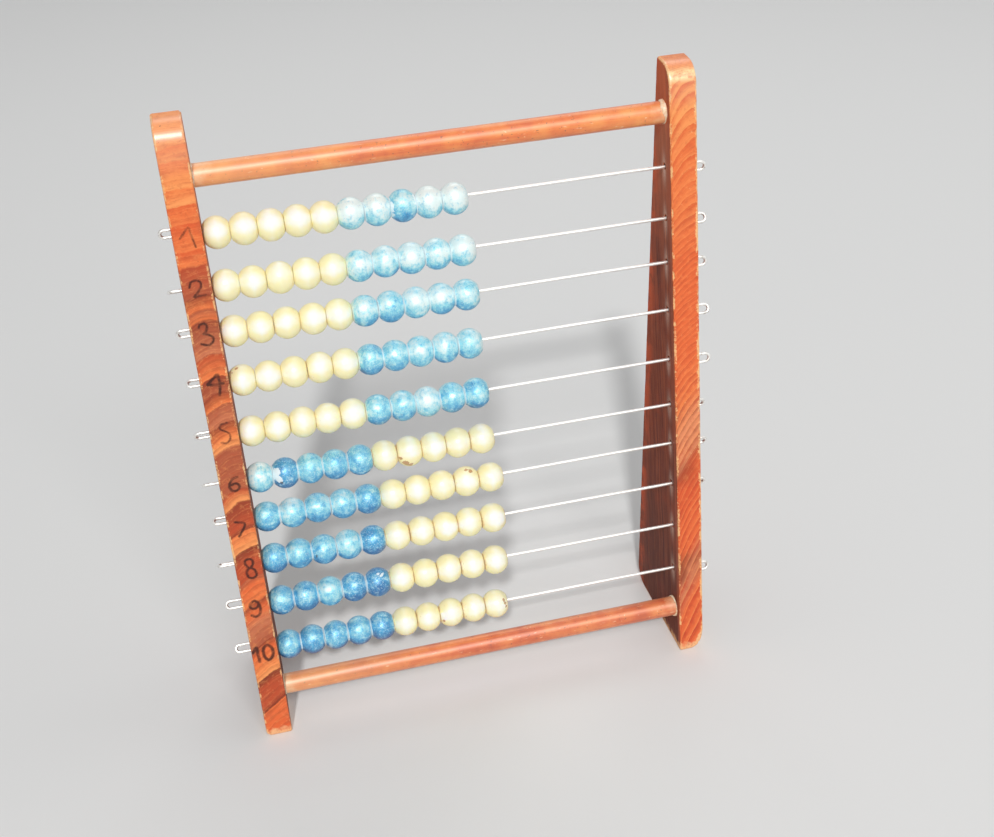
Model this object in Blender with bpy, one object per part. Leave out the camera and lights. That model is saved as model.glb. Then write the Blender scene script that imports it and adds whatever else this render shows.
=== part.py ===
# A child's counting frame: two wedge-shaped side boards, two dowels between them, and ten
# steel wires with ten beads on each. Metres, +Z up, the front faces -Y, the wires run along X.
# The frame stands on the cut feet of its side boards and leans back a little.
import math

import bmesh
import bpy
from mathutils import Matrix, Vector

for old in list(bpy.data.objects):
    bpy.data.objects.remove(old, do_unlink=True)

# Side boards, measured along and behind their straight front edge
board_height = 0.2910
left_board_extra = 0.0028  # the numbered left board stands this much higher above the top dowel
board_thickness = 0.0120
board_top_depth = 0.0152
board_foot_depth = 0.0668
board_top_rise = 0.0025  # the top cut rises this much from the front edge to the back
nose_radius = 0.0095
crown_radius = 0.0020
heel_radius = 0.0095
toe_radius = 0.0015
board_edge_bevel = 0.0007
lean_degrees = 4.0

# Dowels
dowel_diameter = 0.0095
dowel_setback = 0.00385  # wood left in front of the dowel
dowel_chamfer = 0.0006
foot_to_dowel = 0.0222
dowel_to_top = 0.0223
socket_depth_share = 0.66  # of the board's thickness

# Wires, with a hairpin loop outside each board whose tip is driven back into the wood
wire_diameter = 0.0014
wire_hole_play = 0.0010
loop_reach = 0.0079
left_loop_inner_width = 0.0019
right_loop_inner_width = 0.0024
driven_tip_share = 0.45  # of the board's thickness

# Beads
bead_diameter = 0.0135
bead_length = 0.0110
bead_end_diameter = 0.0072
bead_bore_diameter = 0.0035
bead_setback = 0.00135  # from the boards' front edge to the front of the beads
free_wire = 0.0840  # wire left over beside a full row of beads

# Gap between pieces that touch on the real frame
seat_gap = 0.0003
cut_overrun = 0.0020

row_count = 10
bead_groups = (2, 3, 3, 2)  # beads that share one turned body, from the left
cream_first_rows = 5  # in the upper rows the left half is cream, in the lower ones blue

# How far each hand-drilled wire lies off its even station, as shares of the row pitch
row_drift_shares = (-0.036, -0.049, 0.058, 0.054, -0.018, -0.031, 0.071, 0.112, 0.098, 0.013)
# How long the turned beads of each row are, as shares of bead_length
row_length_shares = (0.983, 0.996, 0.995, 0.990, 0.998, 1.003, 1.027, 1.021, 1.014, 0.999)
# How far each loop stands out, as shares of loop_reach
left_reach_shares = (0.68, 0.80, 0.76, 0.77, 0.87, 1.00, 0.80, 1.00, 1.00, 0.95)
right_reach_shares = (0.85, 0.82, 0.84, 0.95, 1.00, 0.66, 0.77, 0.65, 0.48, 0.76)
# Where each driven tip lies about its wire: 0 is above it, 90 behind it, 180 below it
left_twist_degrees = (-10, 112, -16, 60, -28, 118, 68, 108, 25, 30)
right_twist_degrees = (170, 205, 182, 205, 192, 163, 155, 153, 130, 196)

board_bevel_steps = 1
arc_steps = 6
heel_steps = 5
small_arc_steps = 2
loop_steps = 6
hole_sides = 8
tip_hole_sides = 6
dowel_sides = 16
bead_sides = 10
bead_bands = 4
wire_bevel_resolution = 2  # eight sides
smooth_angle = math.radians(45)

# Sizes that follow from the ones above
lean = math.radians(lean_degrees)
beads_per_row = sum(bead_groups)
inner_span = beads_per_row * bead_length + free_wire
half_span = inner_span / 2
wire_radius = wire_diameter / 2
bead_radius = bead_diameter / 2
wire_depth = bead_radius + bead_setback
dowel_radius = dowel_diameter / 2
dowel_depth = dowel_radius + dowel_setback
upper_dowel_height = board_height - dowel_to_top
row_pitch = (upper_dowel_height - foot_to_dowel) / (row_count + 1)
socket_depth = board_thickness * socket_depth_share
driven_tip_depth = board_thickness * driven_tip_share
wire_hole_radius = (wire_diameter + wire_hole_play) / 2
hole_lift = wire_hole_radius - wire_radius - seat_gap  # the wire lies low in its hole
bore_flat_radius = bead_bore_diameter / 2 * math.cos(math.pi / bead_sides)
bead_droop = bore_flat_radius - wire_radius - seat_gap  # the beads hang low on their wire


def corner_radius(flat_radius, sides):
    # Radius to the corners of a many-sided hole whose flats lie at flat_radius.
    return flat_radius / math.cos(math.pi / sides)


def upright(amount):
    # A step straight up from the table, written in the leaning frame's own axes.
    return Vector((0, -math.sin(lean) * amount, math.cos(lean) * amount))


def fillet(before, corner, after, radius, steps):
    # Points of an arc that touches both sides of a corner.
    back = (before - corner).normalized()
    ahead = (after - corner).normalized()
    half_angle = back.angle(ahead) / 2
    centre = corner + (back + ahead).normalized() * (radius / math.sin(half_angle))
    start = corner + back * (radius / math.tan(half_angle)) - centre
    end = corner + ahead * (radius / math.tan(half_angle)) - centre
    sweep = start.angle_signed(end)
    points = []
    for step in range(steps + 1):
        turn = Matrix.Rotation(-sweep * step / steps, 2)
        points.append(centre + turn @ start)
    return points


def board_outline(height):
    # Depth behind the front edge and height along it, round a board of this height from the toe.
    toe = Vector((0, 0))
    heel = Vector((board_foot_depth, board_foot_depth * math.tan(lean)))
    crown = Vector((board_top_depth, height))
    nose = Vector((0, height - board_top_rise))
    points = fillet(nose, toe, heel, toe_radius, small_arc_steps)
    points += fillet(toe, heel, crown, heel_radius, heel_steps)
    points += fillet(heel, crown, nose, crown_radius, small_arc_steps)
    points += fillet(crown, nose, toe, nose_radius, arc_steps)
    return points


def row_height(row):
    # Height of a wire along the front edge, row 0 at the top.
    return upper_dowel_height - row_pitch * (row + 1 - row_drift_shares[row])


def make_material(name, colour, roughness, metallic=0.0):
    material = bpy.data.materials.new(name)
    material.use_nodes = True
    shader = material.node_tree.nodes["Principled BSDF"]
    shader.inputs["Base Color"].default_value = (*colour, 1.0)
    shader.inputs["Roughness"].default_value = roughness
    shader.inputs["Metallic"].default_value = metallic
    return material


board_wood = make_material("stained_board", (0.56, 0.17, 0.06), 0.45)
dowel_wood = make_material("stained_dowel", (0.68, 0.24, 0.06), 0.38)
wire_steel = make_material("bright_wire", (0.72, 0.71, 0.68), 0.28, 1.0)
cream_paint = make_material("cream_bead", (0.83, 0.80, 0.58), 0.35)
blue_paint = make_material("blue_bead", (0.24, 0.52, 0.72), 0.32)

# Everything hangs on one empty at the middle of the footprint, which gives the frame its lean.
depths_on_table = [math.cos(lean) * v + math.sin(lean) * u for v, u in board_outline(board_height)]
footprint_middle = (min(depths_on_table) + max(depths_on_table)) / 2
frame_lean = bpy.data.objects.new("frame_lean", None)
frame_lean.location = (0, -footprint_middle, 0)
frame_lean.rotation_euler = (-lean, 0, 0)
bpy.context.scene.collection.objects.link(frame_lean)


def place(name, data, origin, material):
    data.materials.append(material)
    piece = bpy.data.objects.new(name, data)
    piece.location = origin
    piece.parent = frame_lean
    bpy.context.scene.collection.objects.link(piece)
    return piece


def finish_mesh(name, bm, origin):
    bmesh.ops.translate(bm, verts=bm.verts, vec=-origin)
    bmesh.ops.recalc_face_normals(bm, faces=bm.faces)
    mesh = bpy.data.meshes.new(name)
    bm.to_mesh(mesh)
    bm.free()
    mesh.shade_smooth()
    mesh.set_sharp_from_angle(angle=smooth_angle)
    return mesh


def add_peg(bm, start_x, end_x, depth, height, radius, sides):
    # A round bar along X between two places, used for dowels and for drilled holes.
    middle = Matrix.Translation((((start_x + end_x) / 2), depth, height))
    along_x = Matrix.Rotation(math.radians(90), 4, "Y")
    bmesh.ops.create_cone(
        bm,
        cap_ends=True,
        segments=sides,
        radius1=radius,
        radius2=radius,
        depth=abs(end_x - start_x),
        matrix=middle @ along_x,
    )


def add_bevel(piece, width, steps):
    bevel = piece.modifiers.new("edge_bevel", "BEVEL")
    bevel.width = width
    bevel.segments = steps
    bevel.limit_method = "ANGLE"
    bevel.angle_limit = smooth_angle


class Side:
    # What differs between the left board and the right one; way points outwards along X.
    def __init__(self, name, way, height, inner_width, twists, reach_shares):
        self.name = name
        self.way = way
        self.height = height
        self.inner_x = way * half_span
        self.outer_x = way * (half_span + board_thickness)
        self.leg_gap = inner_width + wire_diameter
        self.twists = [math.radians(angle) for angle in twists]
        self.reaches = [share * loop_reach for share in reach_shares]

    def leg_offset(self, row):
        # From the wire to its driven tip, across the board.
        twist = self.twists[row]
        return Vector((0, math.sin(twist), math.cos(twist))) * self.leg_gap


left_height = board_height + left_board_extra
left = Side(
    "left", -1, left_height, left_loop_inner_width, left_twist_degrees, left_reach_shares
)
right = Side(
    "right", 1, board_height, right_loop_inner_width, right_twist_degrees, right_reach_shares
)


def drilled_holes(side):
    # One cutter with the dowel sockets, the wire holes and the blind holes of the driven tips.
    bm = bmesh.new()
    socket_end = side.inner_x + side.way * socket_depth
    socket_start = side.inner_x - side.way * cut_overrun
    socket_radius = corner_radius(dowel_radius + seat_gap, dowel_sides)
    for height in (foot_to_dowel, upper_dowel_height):
        add_peg(bm, socket_start, socket_end, dowel_depth, height, socket_radius, dowel_sides)
    beyond = side.outer_x + side.way * cut_overrun
    tip_end = side.outer_x - side.way * (driven_tip_depth + seat_gap)
    hole_corner = corner_radius(wire_hole_radius, hole_sides)
    tip_corner = corner_radius(wire_radius + seat_gap, tip_hole_sides)
    for row in range(row_count):
        wire_place = Vector((0, wire_depth, row_height(row)))
        hole = wire_place + upright(hole_lift)
        add_peg(bm, socket_start, beyond, hole.y, hole.z, hole_corner, hole_sides)
        tip = wire_place + side.leg_offset(row)
        add_peg(bm, tip_end, beyond, tip.y, tip.z, tip_corner, tip_hole_sides)
    return bm


def make_board(side):
    origin = Vector((side.inner_x, 0, 0))
    bm = bmesh.new()
    face = bm.faces.new([bm.verts.new((side.inner_x, v, u)) for v, u in board_outline(side.height)])
    grown = bmesh.ops.extrude_face_region(bm, geom=[face])["geom"]
    moved = [part for part in grown if isinstance(part, bmesh.types.BMVert)]
    bmesh.ops.translate(bm, verts=moved, vec=(side.way * board_thickness, 0, 0))
    board = place(f"{side.name}_board", finish_mesh(f"{side.name}_board", bm, origin), origin, board_wood)
    add_bevel(board, board_edge_bevel, board_bevel_steps)
    cutter_mesh = finish_mesh(f"{side.name}_drilling", drilled_holes(side), origin)
    cutter = place(f"{side.name}_drilling", cutter_mesh, origin, board_wood)
    cutter.hide_render = True
    cutter.display_type = "WIRE"
    drill = board.modifiers.new("drilled_holes", "BOOLEAN")
    drill.operation = "DIFFERENCE"
    drill.solver = "EXACT"
    drill.object = cutter


def make_dowel(name, height):
    end_x = half_span + socket_depth - seat_gap
    origin = Vector((0, dowel_depth, height))
    bm = bmesh.new()
    add_peg(bm, -end_x, end_x, dowel_depth, height, dowel_radius, dowel_sides)
    dowel = place(name, finish_mesh(name, bm, origin), origin, dowel_wood)
    add_bevel(dowel, dowel_chamfer, board_bevel_steps)


def hairpin(side, row):
    # From the driven tip out of the board, round the bend and back to the wire's own line.
    # A half circle joins the two legs, in the plane that the twist gives.
    offset = side.leg_offset(row)
    bend_radius = side.leg_gap / 2
    bend_x = side.outer_x + side.way * (side.reaches[row] - bend_radius - wire_radius)
    tip_x = side.outer_x - side.way * driven_tip_depth
    points = [Vector((tip_x, 0, 0)) + offset]
    for step in range(loop_steps + 1):
        angle = math.pi * step / loop_steps
        out = Vector((bend_x + side.way * bend_radius * math.sin(angle), 0, 0))
        points.append(out + offset * (1 + math.cos(angle)) / 2)
    return points


def make_wire(row):
    name = f"wire_{row + 1:02d}"
    curve = bpy.data.curves.new(name, "CURVE")
    curve.dimensions = "3D"
    curve.bevel_depth = wire_radius
    curve.bevel_resolution = wire_bevel_resolution
    curve.use_fill_caps = True
    points = hairpin(left, row) + hairpin(right, row)[::-1]
    spline = curve.splines.new("POLY")
    spline.points.add(len(points) - 1)
    for knot, point in zip(spline.points, points):
        knot.co = (*point, 1)
    place(name, curve, Vector((0, wire_depth, row_height(row))), wire_steel)


def bead_profile(count, length, start):
    # Outer line of a run of beads, as place along the wire and radius. Each bead is an
    # ellipse cut off square where its radius has come down to that of its end.
    end_radius = bead_end_diameter / 2
    end_angle = math.acos(end_radius / bead_radius)
    half_axis = length / 2 / math.sin(end_angle)
    points = []
    for bead in range(count):
        for band in range(bead_bands + 1):
            angle = end_angle * (2 * band / bead_bands - 1)
            along = length * (bead + 1 / 2) + half_axis * math.sin(angle)
            points.append((max(along, start), bead_radius * math.cos(angle)))
        if bead < count - 1:
            points.pop()
    return points


def make_bead_body(row, first, count):
    # A run of beads that touch end to end, turned about the wire with one bore through it.
    last = first + count
    name = f"row_{row + 1:02d}_beads_{first + 1:02d}_{last:02d}"
    length = bead_length * row_length_shares[row]
    outer = bead_profile(count, length, seat_gap)
    bore = [(outer[-1][0], bead_bore_diameter / 2), (seat_gap, bead_bore_diameter / 2)]
    bm = bmesh.new()
    ring = [bm.verts.new((x, 0, radius)) for x, radius in outer + bore]
    edges = [bm.edges.new(pair) for pair in zip(ring, ring[1:] + ring[:1])]
    bmesh.ops.spin(
        bm,
        geom=ring + edges,
        cent=(0, 0, 0),
        axis=(1, 0, 0),
        angle=2 * math.pi,
        steps=bead_sides,
        use_merge=True,
    )
    is_cream = (row < cream_first_rows) == (last <= beads_per_row / 2)
    mesh = finish_mesh(name, bm, Vector((0, 0, 0)))
    axis_place = Vector((first * length - half_span, wire_depth, row_height(row)))
    place(name, mesh, axis_place - upright(bead_droop), cream_paint if is_cream else blue_paint)


for side in (left, right):
    make_board(side)
make_dowel("top_dowel", upper_dowel_height)
make_dowel("bottom_dowel", foot_to_dowel)
for row in range(row_count):
    make_wire(row)
    first = 0
    for count in bead_groups:
        make_bead_body(row, first, count)
        first += count
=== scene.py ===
import math

import bpy
import numpy as np
from mathutils import Matrix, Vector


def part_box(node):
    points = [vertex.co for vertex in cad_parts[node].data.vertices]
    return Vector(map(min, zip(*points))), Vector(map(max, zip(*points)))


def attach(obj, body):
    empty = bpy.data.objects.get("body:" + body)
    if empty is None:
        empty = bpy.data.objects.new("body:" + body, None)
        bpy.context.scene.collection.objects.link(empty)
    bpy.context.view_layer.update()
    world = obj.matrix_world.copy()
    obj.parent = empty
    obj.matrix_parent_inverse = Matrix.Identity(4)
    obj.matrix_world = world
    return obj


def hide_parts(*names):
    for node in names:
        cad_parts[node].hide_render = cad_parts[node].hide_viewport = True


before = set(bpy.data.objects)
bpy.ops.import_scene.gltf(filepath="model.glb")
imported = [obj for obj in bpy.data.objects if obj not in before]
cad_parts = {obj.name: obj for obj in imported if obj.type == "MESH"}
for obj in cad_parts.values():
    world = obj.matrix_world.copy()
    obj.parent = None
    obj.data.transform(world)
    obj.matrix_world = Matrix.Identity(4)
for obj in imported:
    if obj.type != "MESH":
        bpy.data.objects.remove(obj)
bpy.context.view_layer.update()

# A child's counting frame. The front faces -Y, the wires run along X, and it leans back a little.
# Lengths are in metres. Depth is measured behind the boards' straight front edge, height along it.
frameSizes = {
    "leanDegrees": 4.0,
    "boardHeight": {"left": 0.29378, "right": 0.29098},
    "boardThickness": 0.0120,
    "halfSpan": 0.0970,  # from the middle to a board's inner face
    "dowelDepth": 0.0086,
    "bottomDowelHeight": 0.0222,
    "topDowelHeight": 0.2687,
    "rows": 10,
    "beads": 10,
}
lean = math.radians(frameSizes["leanDegrees"])
rowNumbers = range(1, frameSizes["rows"] + 1)
wayOf = {"left": -1, "right": 1}
frameBody = "frame"
sharpAngle = math.radians(40)  # faces that meet at more than this keep their edge


def boxMiddle(node):
    low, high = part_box(node)
    return (np.array(low) + np.array(high)) / 2


# How far the boards' front edge starts in front of the middle of the footprint
toeSetForward = (
    frameSizes["dowelDepth"] * math.cos(lean)
    + frameSizes["bottomDowelHeight"] * math.sin(lean)
    - boxMiddle("bottom_dowel")[1]
)


def toWorld(points):
    # From x, depth and height in the leaning frame: a turn about X by the lean, then a step forward
    x, depth, height = np.moveaxis(np.asarray(points, float), -1, 0)
    y = depth * math.cos(lean) + height * math.sin(lean) - toeSetForward
    return np.stack([x, y, height * math.cos(lean) - depth * math.sin(lean)], -1)


def boardFaces(side):
    # Where a board's inner and outer face are along X
    inner = wayOf[side] * frameSizes["halfSpan"]
    return inner, inner + wayOf[side] * frameSizes["boardThickness"]


def smoothStep(value, start, end):
    share = np.clip((value - start) / (end - start), 0, 1)
    return share * share * (3 - 2 * share)


def waves(points, lengths, seed):
    # Gentle unevenness from -1 to 1: the mean of one sine wave for each length, each in its own direction
    draw = np.random.default_rng(seed)
    total = 0
    for length in lengths:
        way = draw.normal(size=3)
        way /= np.linalg.norm(way)
        total = total + np.sin(points @ way * (2 * math.pi / length) + draw.uniform(0, 2 * math.pi))
    return total / len(lengths)


def unevenness(points, shape, seed):
    # Waves that only ever go into the surface
    return shape["unevenDepth"] * (waves(points, shape["unevenLengths"], seed) - 1) / 2


def circleAngles(count):
    return np.linspace(0, 2 * math.pi, count, endpoint=False)


def runAlong(points):
    # Distance along a line of points to each of them
    return np.concatenate([[0], np.cumsum(np.linalg.norm(np.diff(points, axis=0), axis=1))])


def gridFaces(rows, columns, wrapRows=False, wrapColumns=False, first=0):
    # Corner numbers of the four-sided faces between the points of a grid, counted row by row
    row = np.arange(rows if wrapRows else rows - 1)[:, None]
    column = np.arange(columns if wrapColumns else columns - 1)[None, :]
    nextRow, nextColumn = (row + 1) % rows * columns, (column + 1) % columns
    row = row * columns
    corners = (row + column, nextRow + column, nextRow + nextColumn, row + nextColumn)
    return np.stack(np.broadcast_arrays(*corners), -1).reshape(-1, 4) + first


def carriedCircle(path, radius, across, upward, sides):
    # Rings of points round a path: path + radius (cos(angle) across + sin(angle) upward)
    angle = circleAngles(sides)[None, :, None]
    outward = np.cos(angle) * across[:, None] + np.sin(angle) * upward[:, None]
    return path[:, None] + np.reshape(radius, (-1, 1, 1)) * outward


def tubeFaces(rings, sides, first=0):
    # The faces between the rings, and a cap on both ends
    startCap = np.arange(sides) + first
    endCap = startCap[::-1] + (rings - 1) * sides
    return [gridFaces(rings, sides, wrapColumns=True, first=first), np.stack([startCap, endCap])]


def enclosedVolume(points, faceSets):
    # The sum of the tetrahedra from the origin to every face's fan of triangles
    total = 0.0
    for faces in faceSets:
        corners = points[faces]
        for k in range(1, faces.shape[1] - 1):
            normals = np.cross(corners[:, k], corners[:, k + 1])
            total += np.einsum("ij,ij->", corners[:, 0], normals) / 6
    return total


def buildMesh(name, points, faceSets, fields=None):
    # faceSets holds arrays of corner numbers, each with faces of one kind. Faces are turned outwards.
    spread = points.shape[:-1]
    points = np.ascontiguousarray(points, float).reshape(-1, 3)
    if enclosedVolume(points, faceSets) < 0:
        faceSets = [faces[:, ::-1] for faces in faceSets]
    corners = np.concatenate([faces.ravel() for faces in faceSets]).astype(np.int32)
    counts = np.concatenate([np.full(len(faces), faces.shape[1]) for faces in faceSets])
    mesh = bpy.data.meshes.new(name)
    mesh.vertices.add(len(points))
    mesh.vertices.foreach_set("co", points.ravel())
    mesh.loops.add(len(corners))
    mesh.loops.foreach_set("vertex_index", corners)
    mesh.polygons.add(len(counts))
    mesh.polygons.foreach_set("loop_start", (np.cumsum(counts) - counts).astype(np.int32))
    mesh.update(calc_edges=True)
    for key, values in (fields or {}).items():
        layer = mesh.attributes.new(key, "FLOAT", "POINT")
        layer.data.foreach_set("value", np.broadcast_to(values, spread).astype(np.float32).ravel())
    return mesh


def addObject(name, data):
    made = bpy.data.objects.new(name, data)
    bpy.context.scene.collection.objects.link(made)
    return made


def addPiece(name, mesh, materials, body, nodes):
    mesh.shade_smooth()
    mesh.set_sharp_from_angle(angle=sharpAngle)
    mesh.materials.clear()
    for material in materials:
        mesh.materials.append(material)
    piece = addObject(name, mesh)
    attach(piece, body)
    if nodes:
        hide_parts(*nodes)


# Material helpers. A Value is a node's output, and plus, minus and times between Values add Math nodes.
making = {"tree": None}  # the node tree that is being filled


class Value:
    def __init__(self, socket):
        self.socket = socket

    def __add__(self, other):
        return calc("ADD", self, other)

    def __sub__(self, other):
        return calc("SUBTRACT", self, other)

    def __mul__(self, other):
        return calc("MULTIPLY", self, other)


def addNode(kind, inputs=None, **settings):
    made = making["tree"].nodes.new("ShaderNode" + kind)
    for key, value in settings.items():
        setattr(made, key, value)
    for key, value in (inputs or {}).items():
        connect(value, made.inputs[key])
    return made


def connect(value, socket):
    if isinstance(value, Value):
        making["tree"].links.new(value.socket, socket)
    else:
        socket.default_value = value


def reading(kind, inputs=None, output=0, **settings):
    return Value(addNode(kind, inputs, **settings).outputs[output])


def calc(operation, a, b=0.0):
    return reading("Math", {0: a, 1: b}, operation=operation)


def between(value, start, end, low=0.0, high=1.0):
    # A soft step of a value from low to high
    inputs = {"Value": value, "From Min": start, "From Max": end, "To Min": low, "To Max": high}
    return reading("MapRange", inputs, interpolation_type="SMOOTHSTEP")


def mixed(share, base, layer):
    return reading("Mix", {0: share, 6: base, 7: layer}, 2, data_type="RGBA")


def layered(colour, tones, *layers):
    # Each layer is a tone and its share, or a tone, a value, where the value starts and ends to bring
    # the tone in, and the largest share
    for tone, value, *steps in layers:
        share = between(value, steps[0], steps[1], 0.0, steps[2]) if steps else value
        colour = mixed(share, colour, tones[tone])
    return colour


def noise(places, scale, detail=3.0, roughness=0.5):
    return reading("TexNoise", {"Vector": places, "Scale": scale, "Detail": detail, "Roughness": roughness})


def swing(places, scale, reach):
    # Noise from -reach to reach
    return noise(places, scale, 2.0) * (2 * reach) - reach


def field(name):
    return reading("Attribute", output="Fac", attribute_name=name)


def objectPlaces():
    return reading("TexCoord", output="Object")


def mapped(places, **inputs):
    return reading("Mapping", {"Vector": places, **inputs})


def vector(x, y, z=0.0):
    return reading("CombineXYZ", {0: x, 1: y, 2: z})


def split(places):
    return [Value(socket) for socket in addNode("SeparateXYZ", {0: places}).outputs]


def framePlaces(seedShift):
    # Object coordinates turned upright: shifted for the noises, and as x, depth behind the front
    # edge and height along it
    back = (0, toeSetForward * math.cos(lean), toeSetForward * math.sin(lean))
    places = mapped(objectPlaces(), Location=back, Rotation=(lean, 0, 0))
    return mapped(places, Location=(seedShift, 0, 0)), *split(places)


def tint(red, green, blue):
    # A screen colour from 0 to 255 as Blender's linear colour
    shares = np.array([red, green, blue]) / 255
    linear = np.where(shares <= 0.04045, shares / 12.92, ((shares + 0.055) / 1.055) ** 2.4)
    return (*linear.tolist(), 1.0)


def tints(**colours):
    return {name: tint(*colour) for name, colour in colours.items()}


def colourRamp(share, stops):
    made = addNode("ValToRGB", {0: share})
    elements = made.color_ramp.elements
    while len(elements) < len(stops):
        elements.new(0.5)
    for element, (place, colour) in zip(elements, stops):
        element.position = place
        element.color = colour
    return Value(made.outputs[0])


def newMaterial(name, **constants):
    material = bpy.data.materials.new(name)
    material.use_nodes = True
    making["tree"] = material.node_tree
    for key, value in constants.items():
        material.node_tree.nodes["Principled BSDF"].inputs[key.replace("_", " ")].default_value = value
    return material


def finished(material, colour, roughness, heights, depth, varnish=None):
    # Colour, roughness, the summed small heights in shares of depth, and where it is varnished
    inputs = material.node_tree.nodes["Principled BSDF"].inputs
    bump = reading("Bump", {"Strength": 1.0, "Distance": depth, "Height": heights})
    connect(colour, inputs["Base Color"])
    connect(roughness, inputs["Roughness"])
    connect(bump, inputs["Normal"])
    if varnish:
        connect(varnish, inputs["Coat Weight"])
    return material


# Stained wood. Growth rings cross a board's front strip as slanting, arched bands and run along its
# faces as streaks. Heights in these tables are in millimetres up the strip, at the middle of its width.
# The straw tone is a painted highlight on the nose.
woodTones = tints(
    light=(249, 160, 94), orange=(238, 126, 68), ember=(232, 108, 56), red=(222, 94, 48), crimson=(196, 58, 32),
    brick=(190, 78, 44), brown=(146, 62, 38), dark=(116, 46, 28), rose=(206, 122, 84), blush=(234, 146, 100),
    dusk=(176, 90, 60), bare=(248, 194, 140), worn=(252, 202, 142), rubbed=(236, 208, 190), ink=(52, 24, 20),
    # bore is painted shade for the hole walls
    speck=(84, 38, 24), bore=(44, 24, 18), straw=(255, 232, 168),
)
# A band is the height of a ring's border with the tone there, or with the tones under and above it
woodLooks = {
    "left": {
        "middle": -0.103,
        "seedShift": 3.0,
        "early": 0.25,
        "lateStart": 0.42,
        "slopes": "0 0.74, 50 0.62, 100 0.47, 150 0.36, 200 0.26, 235 0.08, 300 0",
        "bends": "0 14, 60 26, 150 42, 215 44, 240 6, 300 4",
        "rings": "0 0, 60 14, 160 40, 220 58, 300 74",
        "lines": "0 0.3, 150 0.34, 220 0.36, 300 0.34",
        "ringTones": "0 brick, 20 dark, 60 brown, 230 brown, 242 brick, 300 ember",
        "lowerBands": (
            "0 red, 9 ember, 17.8 ember dark, 20.5 brick, 30 brick, 35.5 dark light, 43 orange, 49 ember, "
            "53 brown dusk, 64 rose, 71 ember, 75.5 brown orange, 84 ember, 88 dusk brick, 97 brick, "
            "103 dark light, 112 orange brown, 115 brick, 126 brown light, 132 brick dusk, 153.5 dusk light, "
            "160 orange"
        ),
        "upperBands": (
            "158 orange, 165 brown rose, 173 dusk orange, 179 brown dusk, 186.5 brown orange, 196 brick rose, "
            "211.5 brown orange, 216 dusk orange, 222.5 brown dusk, 235 brick orange, 241.5 red orange, "
            "252.5 red orange, 260 ember light, 266.5 orange light, 277.5 orange light, 283 orange light"
        ),
        "noseWearAndHighlight": (),
        "stains": (),
    },
    "right": {
        "middle": 0.103,
        "seedShift": 11.0,
        "early": 0.55,
        "lateStart": 0.20,
        "slopes": "0 2.1, 60 2.1, 90 1.65, 120 1.55, 150 1.05, 165 0.85, 210 0.68, 250 0.9, 300 1.1",
        "bends": "0 26, 110 34, 160 26, 215 30, 250 78, 300 110",
        "rings": "0 0, 45 4.6, 75 9, 107 15.6, 145 23.2, 165 28.1, 215 44.8, 232 48.8, 250 52.1, 300 59.8",
        "lines": (
            "0 1, 42 0.75, 60 0.95, 104 0.6, 112 0.85, 134 0.85, 142 0.7, 160 0.42, 215 0.45, 234 0.75, 300 0.9"
        ),
        "ringTones": (
            "0 crimson, 40 crimson, 52 brown, 60 crimson, 98 crimson, 110 brick, 118 dusk, 132 dusk, "
            "144 crimson, 215 crimson, 236 red, 300 red"
        ),
        "lowerBands": (
            "0 ember, 30 ember, 38 rose, 51 rose, 60 ember, 68 ember, 80 ember, 88 red, 98 red, "
            "107 brick rose, 116 blush, 127 blush, 139 orange, 160 ember"
        ),
        "upperBands": "158 ember, 205 ember, 228 orange, 252 orange, 268 light, 291 light",
        # A pale blotch on the nose: a painted highlight over partly worn varnish
        "noseWearAndHighlight": (0.2810, 0.2840, 0.2855, 0.2882),  # starts, is full, still is full, ends
        # Dark patches, as place across and up the board, their reach both ways and their strength
        "stains": (
            (0.0978, 0.0460, 0.0036, 0.0095, 0.62), (0.1005, 0.0530, 0.0040, 0.0050, 0.25),
            (0.1000, 0.1010, 0.0070, 0.0080, 0.30),
        ),
    },
}
woodSizes = {
    "borderWidth": 0.5,  # of a band, in millimetres
    "tableSplit": 0.1590,  # where the upper bands take over from the lower ones
    "splitWidth": 0.0010,
    "ringsPerDepth": 1500.0,  # rings crossed per metre going back, which is what makes the faces' streaks
    "wander": 0.0016,
    "jitter": 0.0005,
    "strokeHalfWidth": 0.50,  # in millimetres, as the ink field is
    "bareFoot": 0.0054,
    "bumpDepth": 0.00014,
    "glossStart": 0.268,  # from this height up to the next one the varnish gets glossy
    "glossFull": 0.280,
}


def upTheBoard(height, text):
    # A value that changes up the board, straight between knots of a height in millimetres and a value
    knots = [tuple(map(float, knot.split())) for knot in text.split(", ")]
    reach, most = knots[-1][0], max(value for mm, value in knots)
    stops = [(mm / reach, (value / most, value / most, value / most, 1.0)) for mm, value in knots]
    return colourRamp(height * (1000 / reach), stops) * most


def readBands(text):
    # Height in millimetres, tone under it and tone above it
    for band in text.split(", "):
        mm, *tones = band.split()
        yield float(mm), woodTones[tones[0]], woodTones[tones[-1]]


def tonesUp(height, text):
    # A tone that changes up the board
    bands = list(readBands(text))
    reach = bands[-1][0]
    return colourRamp(height * (1000 / reach), [(mm / reach, tone) for mm, tone, above in bands])


def bandColours(run, text):
    bands, half = list(readBands(text)), woodSizes["borderWidth"] / 2
    low, high = bands[0][0] - 1, bands[-1][0] + 1
    stops = []
    for mm, under, above in bands:
        if under == above:
            stops.append(((mm - low) / (high - low), under))
        else:
            stops.append(((mm - half - low) / (high - low), under))
            stops.append(((mm + half - low) / (high - low), above))
    return colourRamp(run * (1000 / (high - low)) - low / (high - low), stops)


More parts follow.
